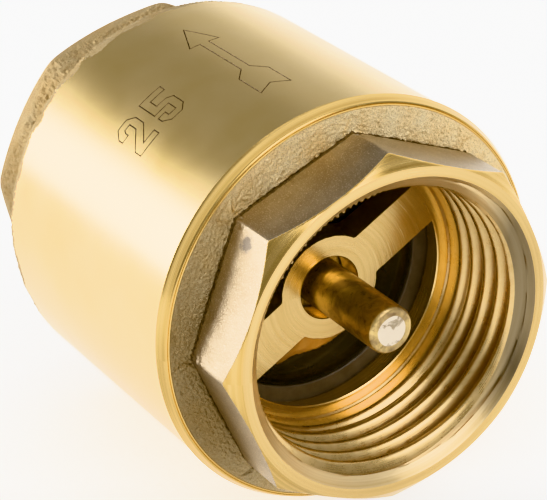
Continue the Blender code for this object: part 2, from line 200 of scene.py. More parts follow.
class Nodes(Tree):
    """A material's node tree. Its patterns take their sizes in millimetres."""

    def __init__(self, name, color, metallic, roughness, **sockets):
        self.material = bpy.data.materials.new(name)
        super().__init__(self.material)
        self.shader = self.tree.nodes["Principled BSDF"]
        fixed = {"Base Color": (*color, 1), "Metallic": metallic, "Roughness": roughness}
        self.feed(self.shader, fixed | {key.replace("_", " "): value for key, value in sockets.items()})
        self.place = self.add("ShaderNodeTexCoord").outputs["Object"]
        self.normal = None

    def math(self, operation, a, b=0.0, clamp=False):
        node = self.add("ShaderNodeMath", operation=operation, use_clamp=clamp)
        return self.feed(node, {0: a, 1: b}).outputs[0]

    def noise(self, size, detail=2.0, roughness=0.5, place=None, distortion=0.0):
        """A noise whose features are about this size."""
        node = self.add("ShaderNodeTexNoise")
        inputs = {"Vector": place or self.place, "Scale": 1 / (size * MM), "Detail": detail}
        inputs |= {"Roughness": roughness, "Distortion": distortion}
        return self.feed(node, inputs).outputs["Fac"]

    def span(self, value, low, high, to_low=0.0, to_high=1.0):
        node = self.add("ShaderNodeMapRange", clamp=True)
        inputs = {"Value": value, "From Min": low, "From Max": high, "To Min": to_low, "To Max": to_high}
        return self.feed(node, inputs).outputs["Result"]

    def mix(self, amount, a, b):
        node = self.add("ShaderNodeMix", data_type="RGBA")
        a = a if isinstance(a, bpy.types.NodeSocket) else (*a, 1)
        b = b if isinstance(b, bpy.types.NodeSocket) else (*b, 1)
        return self.feed(node, {"Factor": amount, "A": a, "B": b}).outputs["Result"]

    def split(self):
        return self.feed(self.add("ShaderNodeSeparateXYZ"), {0: self.place}).outputs

    def radius(self, split):
        square = self.math("ADD", self.math("POWER", split[1], 2.0), self.math("POWER", split[2], 2.0))
        return self.math("SQRT", square)

    def lathe_place(self, stretch):
        """Coordinates that change along and away from the axis, and only slowly round it."""
        split = self.split()
        around = self.math("MULTIPLY", self.math("ARCTAN2", split[2], split[1]), stretch * MM)
        join = self.add("ShaderNodeCombineXYZ")
        return self.feed(join, {0: split[0], 1: self.radius(split), 2: around}).outputs[0]

    def bump(self, height, depth, strength=1.0):
        node = self.add("ShaderNodeBump")
        inputs = {"Height": height, "Distance": depth * MM, "Strength": strength}
        if self.normal:
            inputs["Normal"] = self.normal
        self.normal = self.feed(node, inputs).outputs["Normal"]
        self.link(self.normal, self.shader.inputs["Normal"])

    def color(self, source):
        self.link(source, self.shader.inputs["Base Color"])

    def rough(self, source):
        self.link(source, self.shader.inputs["Roughness"])


BRASS_LIGHT = (0.94, 0.69, 0.33)
BRASS_GOLD = (0.86, 0.60, 0.20)
BRASS_DEEP = (0.62, 0.40, 0.13)


def satin_cylinder_brass():
    """The long turned cylinder: a fine satin skin with faint lines round it, and light handling marks."""
    m = Nodes("satin_turned_brass", BRASS_LIGHT, 1.0, 0.22)
    lines = m.noise(0.06, 3.0, 0.7, m.lathe_place(0.4))
    cloud = m.noise(9, 3.0, 0.55)
    m.color(m.mix(m.span(cloud, 0.35, 0.7), (0.93, 0.68, 0.285), (0.95, 0.71, 0.335)))
    m.rough(m.span(m.math("ADD", cloud, m.math("MULTIPLY", lines, 0.4)), 0.4, 1.1, 0.15, 0.29))
    m.bump(lines, 0.004, 0.4)
    return m.material


def machined_brass(name, dark, light, line, relief, shaded_side=0.0):
    """Brass cut on a lathe, with clear lines round the axis. The last argument paints shade on its +Y side
    and roughens it.
    """
    m = Nodes(name, light, 1.0, 0.2)
    fine = m.noise(line, 2.0, 0.6, m.lathe_place(0.25))
    broad = m.noise(0.5, 3.0, 0.6, m.lathe_place(0.1))
    cloud = m.noise(6, 2.0, 0.5)
    color = m.mix(m.span(broad, 0.35, 0.65), dark, light)
    if shaded_side:
        # Painted shade: the +Y side is darkened towards dark grey, standing for the dark reflection there.
        color = m.mix(m.span(m.split()[1], 10.5 * MM, 14.5 * MM, 0.0, shaded_side), color, (0.20, 0.16, 0.10))
    m.color(color)
    m.rough(m.span(m.math("ADD", fine, cloud), 0.7, 1.3, 0.14 + 0.2 * shaded_side, 0.3 + 0.15 * shaded_side))
    m.bump(broad, 0.02, 0.5 * relief)
    m.bump(fine, 0.008, relief)
    return m.material


def thread_brass():
    """The port's thread: cut brass, with painted shade darkening it towards the groove roots, and fine lines
    along each turn.
    """
    m = Nodes("thread_brass", BRASS_DEEP, 1.0, 0.25)
    depth = m.span(m.radius(m.split()), THREAD_MINOR_RADIUS, THREAD_MINOR_RADIUS + THREAD_DEPTH)
    fine = m.noise(0.12, 2.0, 0.6, m.lathe_place(0.3))
    stain = m.noise(1.5, 4.0, 0.6)
    crest = m.mix(m.span(stain, 0.35, 0.7), (0.74, 0.52, 0.23), (0.84, 0.62, 0.31))
    # Painted shade: the colour darkens to deep brown towards the groove roots.
    m.color(m.mix(m.math("POWER", depth, 1.5), crest, (0.40, 0.25, 0.09)))
    m.rough(m.span(m.math("ADD", fine, stain), 0.7, 1.3, 0.24, 0.36))
    m.bump(fine, 0.012, 0.5)
    return m.material


def cast_brass():
    """The unmachined sides of the bridge: uneven orange-gold skin, with painted shade turning it dark brown
    above the bar.
    """
    m = Nodes("cast_brass", (0.75, 0.48, 0.15), 1.0, 0.4)
    grain = m.noise(0.35, 4.0, 0.6)
    cloud = m.noise(1.8, 3.0, 0.55)
    base = m.mix(m.span(cloud, 0.35, 0.7), (0.80, 0.50, 0.18), (0.93, 0.66, 0.30))
    split = m.split()
    up = m.math("MULTIPLY", split[2], math.cos(INLET_BAR_ANGLE))
    above = m.math("SUBTRACT", up, m.math("MULTIPLY", split[1], math.sin(INLET_BAR_ANGLE)))
    # Painted shade: the side above the bar is darkened to dark brown.
    m.color(m.mix(m.span(above, 1 * MM, 2.5 * MM, 0.0, 0.88), base, (0.16, 0.09, 0.03)))
    m.rough(m.span(grain, 0.3, 0.7, 0.3, 0.5))
    m.bump(grain, 0.05, 0.6)
    return m.material


def forged_brass():
    """The inlet boss's flats as they left the die: smooth, a little oxidised, with painted glints and one
    grey scar.
    """
    m = Nodes("forged_brass", BRASS_LIGHT, 1.0, 0.32)
    grain = m.noise(0.22, 5.0, 0.62)
    cloud = m.noise(3.5, 4.0, 0.6)
    stain = m.span(m.noise(1.2, 5.0, 0.65), 0.6, 0.75)
    base = m.mix(m.span(cloud, 0.35, 0.7), (0.36, 0.28, 0.18), (0.47, 0.38, 0.26))
    # Painted glints: small bright spots mixed into the colour; the same noise also bumps the surface.
    sparkle = m.noise(0.12, 2.0, 0.6)
    base = m.mix(m.span(sparkle, 0.58, 0.68, 0.0, 0.7), base, (0.92, 0.78, 0.55))
    base = m.mix(m.math("MULTIPLY", stain, 0.4), base, (0.48, 0.37, 0.25))
    apart = m.feed(m.add("ShaderNodeVectorMath", operation="DISTANCE"), {0: m.place, 1: SCAR_PLACE})
    uneven = m.math("MULTIPLY", m.noise(0.8, 4.0, 0.7), 1.6 * MM)
    away = m.math("ADD", apart.outputs["Value"], uneven)
    m.color(m.mix(m.span(away, 1.5 * MM, 2.0 * MM, 0.9, 0.0), base, (0.13, 0.11, 0.09)))
    m.rough(m.span(m.math("ADD", grain, stain), 0.3, 1.3, 0.32, 0.45))
    m.bump(grain, 0.04, 0.6)
    m.bump(sparkle, 0.03, 0.6)
    return m.material


def rough_brass():
    """The shoulders and the outlet boss: the forging's grain, painted shade on the side facing -Y, darker and
    rougher towards the outlet end.
    """
    m = Nodes("rough_forged_brass", BRASS_LIGHT, 1.0, 0.4)
    grain = m.noise(0.3, 4.0, 0.6, distortion=0.3)
    cloud = m.span(m.noise(4, 3.0, 0.6), 0.35, 0.7)
    base = m.mix(cloud, (1.0, 0.76, 0.40), (1.0, 0.86, 0.56))
    split = m.split()
    # Painted shade: the side facing -Y, a little downwards, is darkened, standing for the dark reflection on
    # that side.
    low_side = m.math("ADD", m.math("MULTIPLY", split[1], -0.985), m.math("MULTIPLY", split[2], -0.174))
    side_shade_mask = m.span(m.math("DIVIDE", low_side, m.radius(split)), 0.3, 0.98, 0.0, 0.8)
    far = m.span(split[0], 0.0, 2 * MM, 0.62, 0.0)
    base = m.mix(m.math("MAXIMUM", side_shade_mask, far), base, (0.24, 0.17, 0.08))
    fine = m.noise(0.13, 3.0, 0.65)
    hollow = m.math("ADD", m.span(grain, 0.3, 0.45, 0.2, 0.0), m.span(fine, 0.36, 0.56, 0.6, 0.0), clamp=True)
    m.color(m.mix(hollow, base, (0.38, 0.25, 0.11)))
    m.rough(m.math("MAXIMUM", m.span(grain, 0.3, 0.7, 0.42, 0.26), m.math("MULTIPLY", far, 1.1)))
    m.bump(grain, 0.10, 0.7)
    m.bump(fine, 0.13, 1.0)
    return m.material


def groove_shade_brass():
    """Painted shade: a dark finish for the walls of the engraved lines and for the ditch at the inlet boss's
    foot.
    """
    m = Nodes("groove_shade", (0.16, 0.10, 0.04), 0.6, 0.55)
    shade_tone = m.span(m.noise(0.25, 3.0), 0.35, 0.7)
    m.color(m.mix(shade_tone, (0.06, 0.035, 0.012), (0.26, 0.17, 0.07)))
    return m.material


def stem_brass():
    """The drawn rod: darker golden brass, with smudges of oil and a few bare spots."""
    m = Nodes("stem_brass", BRASS_GOLD, 1.0, 0.25)
    smudge = m.span(m.noise(2.2, 5.0, 0.62, distortion=0.6), 0.40, 0.62)
    spot = m.span(m.noise(0.8, 4.0, 0.6), 0.56, 0.68)
    base = m.mix(smudge, (0.76, 0.56, 0.24), (0.36, 0.25, 0.13))
    m.color(m.mix(m.math("MULTIPLY", spot, 0.6), base, (0.16, 0.10, 0.05)))
    lines = m.noise(0.07, 2.0, 0.6, m.lathe_place(0.3))
    m.rough(m.span(m.math("ADD", smudge, lines), 0.3, 1.5, 0.3, 0.45))
    m.bump(lines, 0.005, 0.5)
    return m.material


def stem_tip_brass():
    """The faced end of the rod: bright, with grey blotches."""
    m = Nodes("stem_tip_brass", (0.9, 0.8, 0.62), 1.0, 0.3)
    blotch = m.span(m.noise(2.0, 4.0, 0.6, distortion=0.8), 0.54, 0.60)
    m.color(m.mix(blotch, (0.95, 0.82, 0.64), (0.50, 0.40, 0.27)))
    m.rough(m.span(blotch, 0.0, 1.0, 0.32, 0.22))
    m.bump(m.noise(0.5, 3.0), 0.03, 0.4)
    return m.material


def gloss_plastic():
    """The black moulded plates of the poppet."""
    m = Nodes("black_gloss_plastic", (0.012, 0.012, 0.010), 0.0, 0.2, Coat_Weight=0.4, Coat_Roughness=0.08)
    haze = m.noise(2.5, 4.0, 0.6)
    dust = m.span(m.noise(0.35, 2.0, 0.5), 0.74, 0.8)
    m.color(m.mix(dust, (0.012, 0.012, 0.010), (0.10, 0.095, 0.085)))
    m.rough(m.span(haze, 0.3, 0.7, 0.12, 0.3))
    m.bump(haze, 0.02, 0.25)
    return m.material


def seal_rubber():
    """The rubber of the seat seal: matt black with a faint bloom."""
    m = Nodes("seal_rubber", (0.05, 0.047, 0.042), 0.0, 0.5)
    bloom = m.noise(1.6, 4.0, 0.6)
    grain = m.noise(0.12, 3.0, 0.6)
    m.color(m.mix(m.span(bloom, 0.35, 0.7), (0.13, 0.10, 0.06), (0.19, 0.15, 0.10)))
    m.rough(m.span(bloom, 0.3, 0.7, 0.4, 0.6))
    m.bump(grain, 0.01, 0.5)
    return m.material


def spring_steel():
    """Drawn stainless wire, with die lines and a slight straw tint."""
    m = Nodes("spring_steel", (0.62, 0.60, 0.56), 1.0, 0.22)
    streak = m.noise(0.15, 3.0, 0.6)
    cloud = m.noise(2, 2.0)
    m.color(m.mix(m.span(cloud, 0.35, 0.7), (0.55, 0.54, 0.52), (0.68, 0.65, 0.58)))
    m.rough(m.span(streak, 0.3, 0.7, 0.16, 0.32))
    m.bump(streak, 0.006, 0.5)
    return m.material


def make_finishes():
    """The finishes of the body halves, in the order of the indices below, and those of the small pieces."""
    body = [
        satin_cylinder_brass(),
        machined_brass("machined_brass", (0.66, 0.44, 0.15), (0.84, 0.59, 0.23), 0.10, 0.7),
        forged_brass(),
        rough_brass(),
        groove_shade_brass(),
        machined_brass("faced_brass", (0.80, 0.55, 0.22), (0.90, 0.65, 0.29), 0.16, 0.9),
        machined_brass("mouth_brass", (0.78, 0.57, 0.28), (0.94, 0.73, 0.42), 0.12, 1.6, shaded_side=0.85),
        thread_brass(),
        cast_brass(),
    ]
    return body, {
        "stem": [stem_brass(), stem_tip_brass()],
        "plate": [gloss_plastic()],
        "rubber": [seal_rubber()],
        "steel": [spring_steel()],
    }


SATIN, MACHINED, FORGED, ROUGH, GROOVE_SHADE, FACED, MOUTH, THREAD, CAST = range(9)


# ---------------------------------------------------------------- turned grids


def columns(count):
    """The angles of a grid's columns, once round the axis."""
    return np.arange(count) * (2 * math.pi / count)


def to_points(depth, radius, angle):
    """Coordinates of the points given by depth, radius and angle."""
    along, across, up = np.broadcast_arrays(INLET_X - depth, radius * np.cos(angle), radius * np.sin(angle))
    return np.stack([along, across, up], axis=-1)


def lumps(points, size, octaves, seed):
    """A noise of about -1 to 1 whose features are about this many millimetres across."""
    shift = Vector((seed * 17.3, seed * -9.1, seed * 4.7))
    flat = points.reshape(-1, 3) / (size * MM)
    values = [noise.fractal(Vector(p) + shift, 1.0, 2.0, octaves) for p in flat]
    return np.array(values).reshape(points.shape[:-1])


def soft_min(a, b, width):
    """The smaller of the two, with the corner where they cross rounded over about this width."""
    low, high = np.minimum(a, b), np.maximum(a, b)
    return low - width * np.log1p(np.exp(-np.minimum((high - low) / width, 50)))


def smooth(value):
    """A smooth step from 0 to 1."""
    value = np.clip(value, 0, 1)
    return value * value * (3 - 2 * value)


def ramp(value, start, run):
    """A smooth step that is 0 up to the start and 1 from a run later."""
    return smooth((value - start) / run)


def bell(value, width):
    """1 at the value 0, falling to nothing on both sides."""
    return np.exp(-((value / width) ** 2))


def between(points, step):
    """The points, with more laid about a step apart on the lines between them, and without the last."""
    path = []
    for start, end in zip(points, points[1:]):
        count = max(1, round(math.dist(start, end) / step))
        start, end = np.array(start), np.array(end)
        path += [start + (end - start) * i / count for i in range(count)]
    return np.array(path)


def quarter_round(front, radius, deep, wide):
    """(depth, radius) points of a rounded outer edge, from the front face out to the radius."""
    turns = [math.pi / 2 * i / 8 for i in range(9)]
    return [(front + deep * (1 - math.cos(t)), radius - wide * (1 - math.sin(t))) for t in turns]


def corners(depth, radius, steps):
    """(depth, radius) points that lie these steps, in millimetres, from a corner."""
    return [(depth + d * MM, radius + r * MM) for d, r in steps]


class Section:
    """The closed section of a turned solid, as rows of depth and radius at each column."""

    def __init__(self, count):
        self.angle = columns(count)
        self.depth, self.radius, self.finish = [], [], []

    def strip(self, depth, radius, finish):
        """Adds rows. Depth and radius hold a value a row, or are (rows, columns) arrays."""
        depth, radius = np.asarray(depth, float), np.asarray(radius, float)
        depth = depth[:, None] if depth.ndim == 1 else depth
        radius = radius[:, None] if radius.ndim == 1 else radius
        shape = (max(len(depth), len(radius)), len(self.angle))
        self.depth.append(np.broadcast_to(depth, shape))
        self.radius.append(np.broadcast_to(radius, shape))
        self.finish.append(np.broadcast_to(finish, shape))

    def line(self, start, end, count, finish):
        """Rows on a straight line between two (depth, radius) points, without the last."""
        t = np.linspace(0, 1, count, endpoint=False)
        self.strip(start[0] + (end[0] - start[0]) * t, start[1] + (end[1] - start[1]) * t, finish)

    def path(self, points, finish, step=None):
        """Straight lines through the (depth, radius) points, without the last. Long lines get more rows."""
        for start, end in zip(points, points[1:]):
            run = math.dist(start, end)
            self.line(start, end, max(1, round(run / step)) if step else 1, finish)

    def mesh(self, name, materials):
        depth, radius, finish = (np.concatenate(rows) for rows in (self.depth, self.radius, self.finish))
        return grid_object(name, to_points(depth, radius, self.angle), finish, materials)


def grid_object(name, points, finish, materials, closed_rows=True):
    """A closed mesh from a (rows, columns) grid of points. The rows close on themselves too, or get caps."""
    rows, cols = points.shape[:2]
    index = np.arange(rows * cols).reshape(rows, cols)
    right = np.roll(index, -1, axis=1)
    last = rows if closed_rows else rows - 1
    up, up_right = np.roll(index, -1, axis=0), np.roll(right, -1, axis=0)
    quads = np.stack([index, right, up_right, up], axis=-1)[:last].reshape(-1, 4)
    kinds = np.asarray(finish)[:last].reshape(-1)
    flat = points.reshape(-1, 3)
    a, b, c, d = (flat[quads[:, i]] for i in range(4))
    volume = np.einsum("ij,ij->i", a, np.cross(b, c) + np.cross(c, d)).sum()
    if volume < 0:
        quads = quads[:, ::-1]
    faces = quads.tolist()
    if not closed_rows:
        faces += [index[0].tolist(), index[-1][::-1].tolist()]
        if volume > 0:
            faces[-2], faces[-1] = faces[-2][::-1], faces[-1][::-1]
        kinds = np.concatenate([kinds, [np.asarray(finish)[0, 0], np.asarray(finish)[-1, 0]]])
    mesh = bpy.data.meshes.new(name)
    mesh.from_pydata(flat.tolist(), [], faces)
    for material in materials:
        mesh.materials.append(material)
    mesh.polygons.foreach_set("material_index", kinds.astype(np.int32))
    return smooth_object(name, mesh)


def smooth_object(name, mesh):
    mesh.shade_smooth()
    mesh.set_sharp_from_angle(angle=SHARP_ANGLE)
    obj = bpy.data.objects.new(name, mesh)
    bpy.context.scene.collection.objects.link(obj)
    return obj


def combine(obj, operation, other):
    """Joins the other closed mesh to this one, or cuts it out, and removes it."""
    modifier = obj.modifiers.new("combine", "BOOLEAN")
    modifier.operation = operation
    modifier.solver = "MANIFOLD"
    modifier.object = other
    graph = bpy.context.evaluated_depsgraph_get()
    made = bpy.data.meshes.new_from_object(obj.evaluated_get(graph))
    obj.modifiers.clear()
    if len(made.polygons) == 0:
        raise RuntimeError(f"{operation} of {other.name} left nothing of {obj.name}")
    old, obj.data = obj.data, made
    made.name = old.name
    bpy.data.meshes.remove(old)
    bpy.data.objects.remove(other)
    made.shade_smooth()
    made.set_sharp_from_angle(angle=SHARP_ANGLE)


# ---------------------------------------------------------------- the body's surfaces


def boss_radius(depth, angle, end):
    """The chamfered octagon's radius at a depth from its own end face, and where the chamfer is."""
    half_flats = BOSS_CORNER * math.cos(math.pi / 8)
    off = np.mod(angle - BOSS_TURN[end], math.pi / 4) - math.pi / 8
    next_off = math.pi / 4 - np.abs(off)
    octagon = soft_min(half_flats / np.cos(off), half_flats / np.cos(next_off), EDGE_ROUNDING[end])
    cone = BOSS_FACE_RADIUS + depth * BOSS_CHAMFER_SLOPE
    return soft_min(octagon, cone, 0.035 * MM), cone < octagon


def thread_groove(turn):
    """The depth, from 0 to 1, of a 55 degree pipe thread's groove. turn counts pitches along the axis."""
    flank = THREAD_DEPTH * math.tan(math.radians(27.5)) / THREAD_PITCH
    off = np.abs(np.mod(turn, 1.0) - 0.5)
    root = 0.03
    rise = (flank + root - off) / flank
    return smooth_corner(np.clip(rise, -0.6, 1.2))


def smooth_corner(value):
    """Keeps a ramp from 0 to 1, its corner at 0 well rounded and its corner at 1 hardly."""
    crest, root = 0.14, 0.03
    low = crest * np.log1p(np.exp(value / crest))
    return 1 - root * np.log1p(np.exp((1 - low) / root))


def port_radius(depth, angle, end):
    """A port's radius at a depth from its own end face. end is 1 at the inlet and -1 at the outlet."""
    x = end * (LENGTH / 2 - depth) - THREAD_SHIFT[end]
    fade = 1 - ramp(depth, THREAD_FULL_DEPTH, THREAD_END_DEPTH - THREAD_FULL_DEPTH)
    groove = thread_groove(x / THREAD_PITCH - angle / (2 * math.pi))
    slope = (PORT_MOUTH_RADIUS - THREAD_MINOR_RADIUS) / PORT_CHAMFER_DEPTH
    mouth = PORT_MOUTH_RADIUS - depth * slope
    wall = THREAD_MINOR_RADIUS + THREAD_DEPTH * groove * fade
    return -soft_min(-mouth, -wall, 0.03 * MM)


def torn_corner(depth, angle, points, end):
    """Small torn places on the boss's edges near its base, as the trimmed forging leaves them."""
    off = math.pi / 8 - np.abs(np.mod(angle - BOSS_TURN[end], math.pi / 4) - math.pi / 8)
    near = bell(off * BOSS_CORNER, 0.9 * MM) * bell(BOSS_LENGTH - depth, 1.6 * MM)
    return near * np.minimum(lumps(points, 0.55, 3, 3.0), 0.1)


def add_boss(section, end):
    """Rows of a boss from its end face to the ragged edge of the forging's skin."""
    angle = section.angle
    chamfer_rows = np.linspace(0, 1.5 * MM, 15, endpoint=False)
    flat_rows = np.linspace(1.5 * MM, BOSS_LENGTH - 0.45 * MM, 27)
    foot_rows = BOSS_LENGTH - MM * np.array([0.36, 0.27, 0.2, 0.13])
    own = np.concatenate([chamfer_rows, flat_rows, foot_rows])[:, None] + 0 * angle
    radius, chamfered = boss_radius(own, angle, end)
    points = to_points(place(own, end), radius, angle)
    forged = ramp(own, 1.2 * MM, 1 * MM)
    near_base = ramp(own, BOSS_LENGTH - 2.2 * MM, 2 * MM)
    swell, grain, base_grain = BOSS_RELIEF[end]
    radius = radius + forged * swell * lumps(points, 2.2, 2, end)
    radius = radius + forged * (grain + base_grain * near_base) * lumps(points, 0.32, 3, 4.0 + end)
    radius = radius + 0.35 * MM * torn_corner(own, angle, points, end)
    # Painted shadow: the last rows of the inlet boss, in the ditch at its foot, take the dark groove finish.
    finish = np.where(own > BOSS_LENGTH - 0.21 * MM, GROOVE_SHADE, FORGED) if end > 0 else ROUGH
    crease = 0.2 * MM * bell(own - BOSS_LENGTH + 0.2 * MM, 0.09 * MM)
    ragged = 0.16 * MM * lumps(to_points(own * 0, radius, angle), 0.6, 3, 9.0 + end)
    own = own + ragged * ramp(own, BOSS_LENGTH - 0.4 * MM, 0.2 * MM)
    return place(own, end), radius - crease, np.where(chamfered, MACHINED, finish)


def place(own_depth, end):
    """A depth from the inlet face, for a depth from either end face."""
    return own_depth if end > 0 else LENGTH - own_depth


def rough_skin(points, seed):
    """The relief of the forging's skin: grains, the hollows between them, and a slow swell."""
    grains = lumps(points, 0.28, 3, seed)
    fine = lumps(points, 0.2, 2, seed + 1)
    swell = lumps(points, 2.5, 2, seed + 2)
    return MM * (0.09 * np.minimum(grains, 0.5) + 0.06 * fine + 0.05 * swell)


def fold_cracks(radius, angle):
    """Short folds, each with a raised lip, that run outwards over the shoulder from the octagon's corners."""
    depth = 0 * radius * angle
    for degrees, bend in FOLDS:
        middle = math.radians(degrees) + bend * np.sin(radius / (0.8 * MM) + degrees)
        across = (angle - middle) * radius / MM
        depth = depth + bell(across, 0.13) - 0.6 * bell(across - 0.3, 0.16)
    return depth


def add_inlet_shoulder(section, root):
    """The rough skin from the boss's root out to the flange's turned rim, with a dark ditch at its foot."""
    t = (np.linspace(0, 1, 30) ** 1.1)[:, None]
    start = BOSS_LENGTH + 0.14 * MM
    radius = root + 0.02 * MM + (FLANGE_FRONT_RADIUS - root) * t
    slope = (FLANGE_FRONT - BOSS_LENGTH) / (FLANGE_FRONT_RADIUS - SHOULDER_RADIUS)
    line = BOSS_LENGTH + slope * (radius - SHOULDER_RADIUS)
    own = start + (line - start) * ramp(radius, root, 0.25 * MM)
    points = to_points(own, radius, section.angle)
    folds = FOLD_DEPTH * fold_cracks(radius, section.angle) * smooth((1 - t) * 2.2)
    inside = smooth(t * 9) * smooth((1 - t) * 10)
    ragged = 0.12 * MM * bell(radius - root, 0.2 * MM) * lumps(points, 0.5, 3, 31.0)
    # Painted shadow: a ragged band next to the boss's root takes the dark groove finish.
    dark_foot = (0.07 + 0.10 * lumps(points, 0.5, 3, 37.0)) * MM
    finish = np.where(radius < root + dark_foot, GROOVE_SHADE, ROUGH)
    return own - ((rough_skin(points, 11.0) - folds) * inside + ragged), radius, finish


def skin_of_outlet(depth, angle):
    """The rounded forged skin between cylinder and outlet boss, cut back by the turning where it is proud."""
    start = LENGTH - BOSS_LENGTH - OUTLET_SHOULDER
    t = np.clip((depth - start) / OUTLET_SHOULDER, 0, 1)
    skin = SHOULDER_RADIUS + (CYLINDER_RADIUS - SHOULDER_RADIUS) * np.sqrt(np.maximum(1 - t * t, 0))
    skin = skin + 0.12 * np.maximum(start - depth, 0)
    points = to_points(depth, skin, angle)
    skin = skin + 1.8 * rough_skin(points, 21.0) * smooth(t * 3 - 0.1)
    skin = skin + 0.09 * MM * lumps(points, 3.2, 2, 27.0)
    turned = CYLINDER_RADIUS - 0.002 * MM
    return np.minimum(skin, turned), np.where(skin < turned, ROUGH, SATIN)


def add_port(section, end):
    """Rows of a threaded port's lining, from its floor to the mouth and back inside the metal."""
    count = round(PORT_DEPTH / THREAD_PITCH * THREAD_ROWS_PER_TURN)
    own = np.linspace(PORT_DEPTH - 0.02 * MM, 0, count)[:, None]
    radius = port_radius(own, section.angle, end)
    radius = radius - 0.25 * MM * ramp(own, PORT_DEPTH - 0.35 * MM, 0.35 * MM)
    crest = 1 - ramp(radius, THREAD_MINOR_RADIUS + 0.25 * MM, 0.3 * MM)
    side = ramp(np.cos(section.angle - TOOTH_MIDDLE), math.cos(TOOTH_SPAN), 0.25)
    first = ramp(own, 0.9 * MM, 0.4 * MM) * (1 - ramp(own, 2.7 * MM, 0.5 * MM))
    points = to_points(place(own, end), radius, section.angle)
    line = to_points(own * 0, THREAD_MINOR_RADIUS + 0 * radius, section.angle)
    sway = 0.35 * lumps(line, 3, 2, 8.0)
    teeth = TOOTH_HEIGHT * (np.abs(np.sin(section.angle * TOOTH_COUNT / 2 + sway * 6)) - 0.6)
    radius = radius - first * crest * side * (teeth + TEAR_HEIGHT * lumps(points, 0.6, 3, 7.0))
    chatter = ramp(own, 0.3 * MM, 0.3 * MM) * (1 - ramp(own, PORT_CHAMFER_DEPTH - 0.4 * MM, 0.4 * MM))
    radius = radius + 0.006 * MM * chatter * np.sin(own / (0.23 * MM) * 2 * math.pi)
    finish = np.where(own < 1.6 * MM, MOUTH, THREAD)
    section.strip(place(own, end), np.minimum(radius, PORT_MOUTH_RADIUS), finish)
    hidden = [
        (0.3 * MM, LINER_OUTSIDE), (PORT_DEPTH - 0.4 * MM, LINER_OUTSIDE),
        (PORT_DEPTH + 0.2 * MM, THREAD_MINOR_RADIUS), (PORT_DEPTH, THREAD_MINOR_RADIUS),
    ]
    section.path([(place(depth, end), radius) for depth, radius in hidden], THREAD)


def web_share(off):
    """The web's height, 0 to 1, at an angle from the bar: full in one corner with an arm, then fading."""
    degrees = np.mod(np.degrees(off), 360)
    return ramp(degrees, 192, 12) * (1 - np.clip((degrees - 204) / 80, 0, 1)) ** 1.6


def bridge_section(front, rear, hub_radius, bore_radius, bar_angle, web):
    """A hub with a bar through it, as a turned section whose outline is the hub and the bar together."""
    section = Section(BRIDGE_COLUMNS)
    off = section.angle - bar_angle
    rows = (np.linspace(0, 1, 22) ** 1.3)[:, None]
    spread = rows * (0.35 * MM)
    half = BAR_HALF_WIDTH + spread
    across, along = np.abs(np.sin(off)), np.abs(np.cos(off))
    bar = np.minimum(half / np.maximum(across, 1e-6), BRIDGE_REACH / np.maximum(along, 1e-6))
    hub = hub_radius + spread * 0.6
    outline = -soft_min(-bar, -hub, 0.12 * MM + 0.5 * MM * smooth(rows * 1.6))
    fin = web * WEB_WIDTH * smooth(rows * abs(rear - front) / WEB_DEPTH) * web_share(off)
    outline = np.minimum(outline + fin, BRIDGE_REACH)
    depth = front + (rear - front) * rows
    points = to_points(depth, outline, section.angle)
    free = outline < BRIDGE_REACH - 0.2 * MM
    relief = 0.10 * lumps(points, 1.1, 3, 5.0) + 0.04 * lumps(points, 0.4, 2, 6.0)
    outline = outline + smooth(rows * 14) * free * MM * relief
    free = outline < BRIDGE_REACH - 0.2 * MM
    outline = outline + 0.06 * MM * lumps(points[:1], 0.9, 3, 15.0) * free
    edge = 0.1 * MM * np.sign(rear - front)
    face = np.linspace(0, 1, 12, endpoint=False)[:, None]
    inner = bore_radius + abs(edge)
    section.strip([front], [inner], FACED)
    section.strip([front], inner + (outline[:1] - inner) * face[1:], FACED)
    section.strip(depth, outline, CAST)
    section.strip([rear], outline[-1:] + (bore_radius - outline[-1:]) * face[1:], CAST)
    section.strip(np.linspace(rear, front + edge, 6), [bore_radius], MACHINED)
    return section


def spigot_groove(depth, angle, ends):
    """How deep the thread between the halves is cut: ends is 1 where it is full, 0 where it has run out."""
    turn = depth / SPIGOT_THREAD_PITCH + angle / (2 * math.pi)
    return SPIGOT_THREAD_DEPTH * ends * (0.5 - 0.5 * np.cos(2 * math.pi * turn))


def finish_piece(piece, body, node):
    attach(piece, body)
    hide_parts(node)


def inlet_skin(finishes):
    """The outside of the inlet fitting: face, boss, shoulder, and the flange with its turned ridges."""
    skin = Section(SKIN_COLUMNS)
    skin.line((0, PORT_MOUTH_RADIUS), (0, BOSS_FACE_RADIUS), 3, FACED)
    skin.strip(*add_boss(skin, 1))
    skin.strip(*add_inlet_shoulder(skin, skin.radius[-1][-1:]))
    rim = [(0.05, 0.02), (-0.01, 0.08), (0.01, 0.2), (0.10, 0.25), (0.04, 0.32), (0.07, 0.4)]
    start = FLANGE_FRONT + FLANGE_CHAMFER
    low = FLANGE_RADIUS - FLANGE_TAPER
    skin.path(corners(FLANGE_FRONT, FLANGE_FRONT_RADIUS, rim) + [(start, low)], MACHINED)
    t = np.linspace(0, 1, 9, endpoint=False)
    ridges = 0.008 * MM * np.sin(t * 9 * math.pi)
    cone = low + (FLANGE_TAPER - 0.05 * MM) * t + ridges
    skin.strip(start + (FLANGE_REAR - 0.15 * MM - start) * t, cone, MACHINED)
    back = corners(FLANGE_REAR, FLANGE_RADIUS, [(-0.15, -0.05), (-0.08, 0), (0, -0.1)])
    skin.path(back + [(FLANGE_REAR, PORT_MOUTH_RADIUS), (0, PORT_MOUTH_RADIUS)], MACHINED)
    return skin.mesh("inlet_fitting_skin", finishes)


